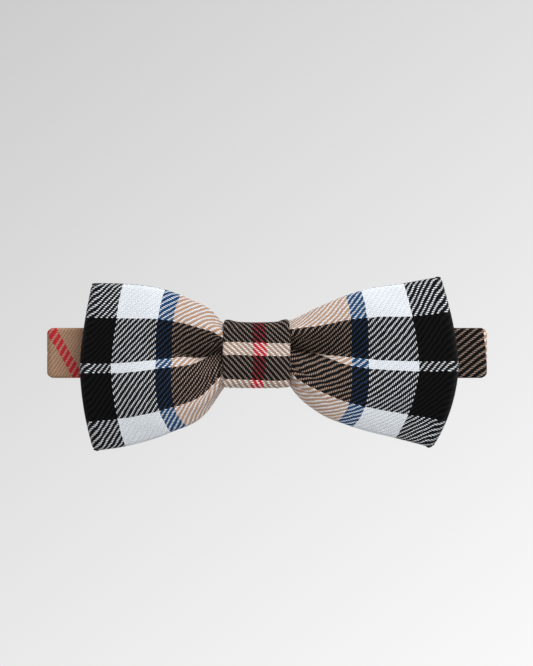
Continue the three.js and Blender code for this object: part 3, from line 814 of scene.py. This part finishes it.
def tube(name, path, radius, sides=8):
    """A round thread along a 3D path, closed at both ends."""
    points, _ = even_path(path, radius * 1.2)
    direction = np.gradient(points, axis=0)
    direction /= np.linalg.norm(direction, axis=1, keepdims=True)
    sideways = np.cross(direction, (0.3, 0.9, 0.2))
    sideways /= np.linalg.norm(sideways, axis=1, keepdims=True)
    upwards = np.cross(direction, sideways)
    size = np.full(len(points), radius)
    size[0] = size[-1] = radius * 0.3
    angle = np.linspace(0, 2 * math.pi, sides, endpoint=False)[None, :, None]
    outwards = sideways[:, None] * np.cos(angle) + upwards[:, None] * np.sin(angle)
    ring = points[:, None] + size[:, None, None] * outwards
    ids = np.arange(len(points) * sides).reshape(-1, sides).tolist()
    faces = []
    for this, following in zip(ids, ids[1:]):
        for k in range(sides):
            n = (k + 1) % sides
            faces.append((this[k], this[n], following[n], following[k]))
    faces.append(ids[0][::-1])
    faces.append(ids[-1])
    return make_mesh(name, ring.reshape(-1, 3), faces)


def bar_tack(name, node, body):
    """A dense zigzag of thread across the strap, over its node's place."""
    low, high = node_box(node)
    y = RETURN_Y + STRAP_THICK / 2 - 0.05
    heights = np.linspace(low[2], high[2], TACK_STITCHES)
    path = [(low[0] if k % 2 else high[0], y, z) for k, z in enumerate(heights)]
    piece = tube(name, path, THREAD_RADIUS)
    piece.data.materials.append(thread)
    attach(piece, body)
    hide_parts(node)


# ---------------------------------------------------------------- hardware

METAL_EDGE = 0.16  # how far its edges are rounded
FLAT_WITHIN, BEVEL_OVER, SHADE_SHARP_OVER = math.radians(2), math.radians(50), math.radians(40)


def polished(node, body):
    """A frame part with its edges rounded over, as tumbled metal has them."""
    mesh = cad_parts[node].data.copy()
    work = bmesh.new()
    work.from_mesh(mesh)
    bmesh.ops.remove_doubles(work, verts=work.verts, dist=1e-6)
    bmesh.ops.dissolve_limit(work, angle_limit=FLAT_WITHIN, verts=work.verts, edges=work.edges)
    sharp = [e for e in work.edges if len(e.link_faces) == 2 and e.calc_face_angle() > BEVEL_OVER]
    bmesh.ops.bevel(work, geom=sharp, offset=METAL_EDGE * MM, segments=3, profile=0.5, affect="EDGES",
                    clamp_overlap=True)
    work.to_mesh(mesh)
    work.free()
    mesh.polygons.foreach_set("use_smooth", [True] * len(mesh.polygons))
    mesh.set_sharp_from_angle(angle=SHADE_SHARP_OVER)
    piece = bpy.data.objects.new(node + "_polished", mesh)
    bpy.context.scene.collection.objects.link(piece)
    mesh.materials.clear()
    mesh.materials.append(nickel)
    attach(piece, body)
    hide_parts(node)


# ---------------------------------------------------------------- build

bow_middle = build_bow()
knot_middle = build_knot()
build_left_band()
build_right_band()
bar_tack("eye_stitches", "eye_tack", "left_tail_outer")
bar_tack("adjuster_stitches", "adjuster_tack", "adjuster")
# the linings are narrower than the cloth by this many of its lines at each edge, and this thick
lining("bow_lining", "bow_interlining", bow_middle, 7, 0.6)
lining("knot_lining", "knot_interlining", knot_middle, 4, 0.4)
polished("eye_ring", "eye")
polished("hook", "hook")
polished("slide_adjuster", "adjuster")

# the frame's own linings and threads that stay get the same finishes
for name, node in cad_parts.items():
    for word, finish in (("interlining", fleece), ("thread", thread)):
        if word in name:
            node.data.materials.clear()
            node.data.materials.append(finish)


# ---------------------------------------------------------------- camera, light and stage

# from here on, places and sizes are metres unless they say otherwise
PICTURE_HEIGHT = 211.5  # mm of the object's plane that the picture's height takes in
PICTURE_MIDDLE = (3.14, 6.67)  # mm, the x and z of the object's plane in the picture's middle
LENS, SENSOR = 160.0, 36.0  # mm
HORIZON_GREY, SKY_GREY = 0.58, 0.24
HORIZON_FADE = (0.06, 0.3)  # height of a view direction where the horizon's band fades, 1 straight up
# the wall and the floor glow with these greys over a near-black colour of their own; the wall's glow
# carries painted shade, darker upwards and to the left
WALL_GLOW, FLOOR_GLOW = 0.765, 0.52
WALL_SHADE_X, WALL_SHADE_Z = 0.25, -0.33  # how the wall's grey changes, per metre
WALL_Y, WALL_HALF, WALL_TOP = 1.9, 14.0, 2.6
FLOOR_Z, FLOOR_END, CURVE = -0.46, -14.0, 0.03


def add_camera():
    """A long lens, level with the picture's middle, straight in front of the bow."""
    away = PICTURE_HEIGHT * LENS / SENSOR
    x, z = PICTURE_MIDDLE
    data = bpy.data.cameras.new("camera")
    data.lens = LENS
    data.sensor_width = SENSOR
    camera = bpy.data.objects.new("camera", data)
    camera.location = (x * MM, (KNOT_FRONT / 2 - away) * MM, z * MM)
    camera.rotation_euler = (math.radians(90), 0, 0)
    bpy.context.scene.collection.objects.link(camera)
    bpy.context.scene.camera = camera
    bpy.context.scene.view_settings.view_transform = "Standard"


def area_light(name, place, size, power):
    """A soft square light that faces the knot."""
    data = bpy.data.lights.new(name, "AREA")
    data.size = size
    data.energy = power
    light = bpy.data.objects.new(name, data)
    bpy.context.scene.collection.objects.link(light)
    light.location = place
    x, y, z = place
    light.rotation_euler = (math.atan2(math.hypot(x, y), z), 0, math.atan2(x, -y))


def surroundings():
    """A dim even room with a paler band round the horizon."""
    world = bpy.data.worlds.new("world")
    bpy.context.scene.world = world
    world.use_nodes = True
    background = world.node_tree.nodes["Background"]
    background.inputs["Color"].default_value = (0.99, 1.0, 1.01, 1)
    g = Graph(world.node_tree)
    _, _, z = g.axes(g.node("ShaderNodeTexCoord").outputs["Generated"])
    height = g.smooth_range(g.math("ABSOLUTE", z), *HORIZON_FADE)
    g.feed(background.inputs["Strength"], g.line(height, SKY_GREY - HORIZON_GREY, HORIZON_GREY))


def glowing_paper():
    """Paper that glows, with painted shade: the wall's glow darkens upwards and to the left, and fades into
    the surroundings.
    """
    material, g, shader = new_material("glowing_paper")
    x, y, z = g.axes(g.node("ShaderNodeTexCoord").outputs["Object"])
    # painted shade: the wall glows darker upwards and to the left
    wall = g.line(x, WALL_SHADE_X, g.line(z, WALL_SHADE_Z, WALL_GLOW))
    towards_wall = g.smooth_range(y, -0.8, WALL_Y)
    near = g.line(g.math("SUBTRACT", wall, FLOOR_GLOW), towards_wall, FLOOR_GLOW)
    aside = g.smooth_range(g.math("ABSOLUTE", x), 1.0, 8.0)
    distant = g.math("MAXIMUM", aside, g.smooth_range(y, -1.0, -9.0))
    grey = g.line(g.math("SUBTRACT", HORIZON_GREY, near), distant, near)
    # the sheet glows with this grey; its own colour is near black
    g.feed(shader.inputs["Emission Color"], g.grey(grey))
    shader.inputs["Emission Strength"].default_value = 1.0
    shader.inputs["Base Color"].default_value = (0.02, 0.02, 0.02, 1)
    shader.inputs["Roughness"].default_value = 1.0
    shader.inputs["Specular IOR Level"].default_value = 0.0
    return material


def stage_sheet():
    """A pale floor that turns up into a wall, far behind the object."""
    sweep = [(FLOOR_END, FLOOR_Z), (WALL_Y - CURVE, FLOOR_Z)]
    sweep += [(WALL_Y, z) for z in np.linspace(FLOOR_Z + CURVE, WALL_TOP, 12)]
    points = [(x, y, z) for y, z in sweep for x in (-WALL_HALF, WALL_HALF)]
    faces = [(2 * k, 2 * k + 1, 2 * k + 3, 2 * k + 2) for k in range(len(sweep) - 1)]
    floor = make_mesh("floor", np.array(points) / MM, faces)
    floor.data.polygons.foreach_set("use_smooth", [False] * len(faces))
    floor.data.materials.append(glowing_paper())


add_camera()
surroundings()
area_light("key", (0.4, -0.65, 1.0), 0.6, 16.2)
area_light("fill", (-0.9, -0.75, 0.2), 0.8, 3.2)
area_light("rear", (-0.5, 0.9, 0.7), 0.7, 4.0)
stage_sheet()
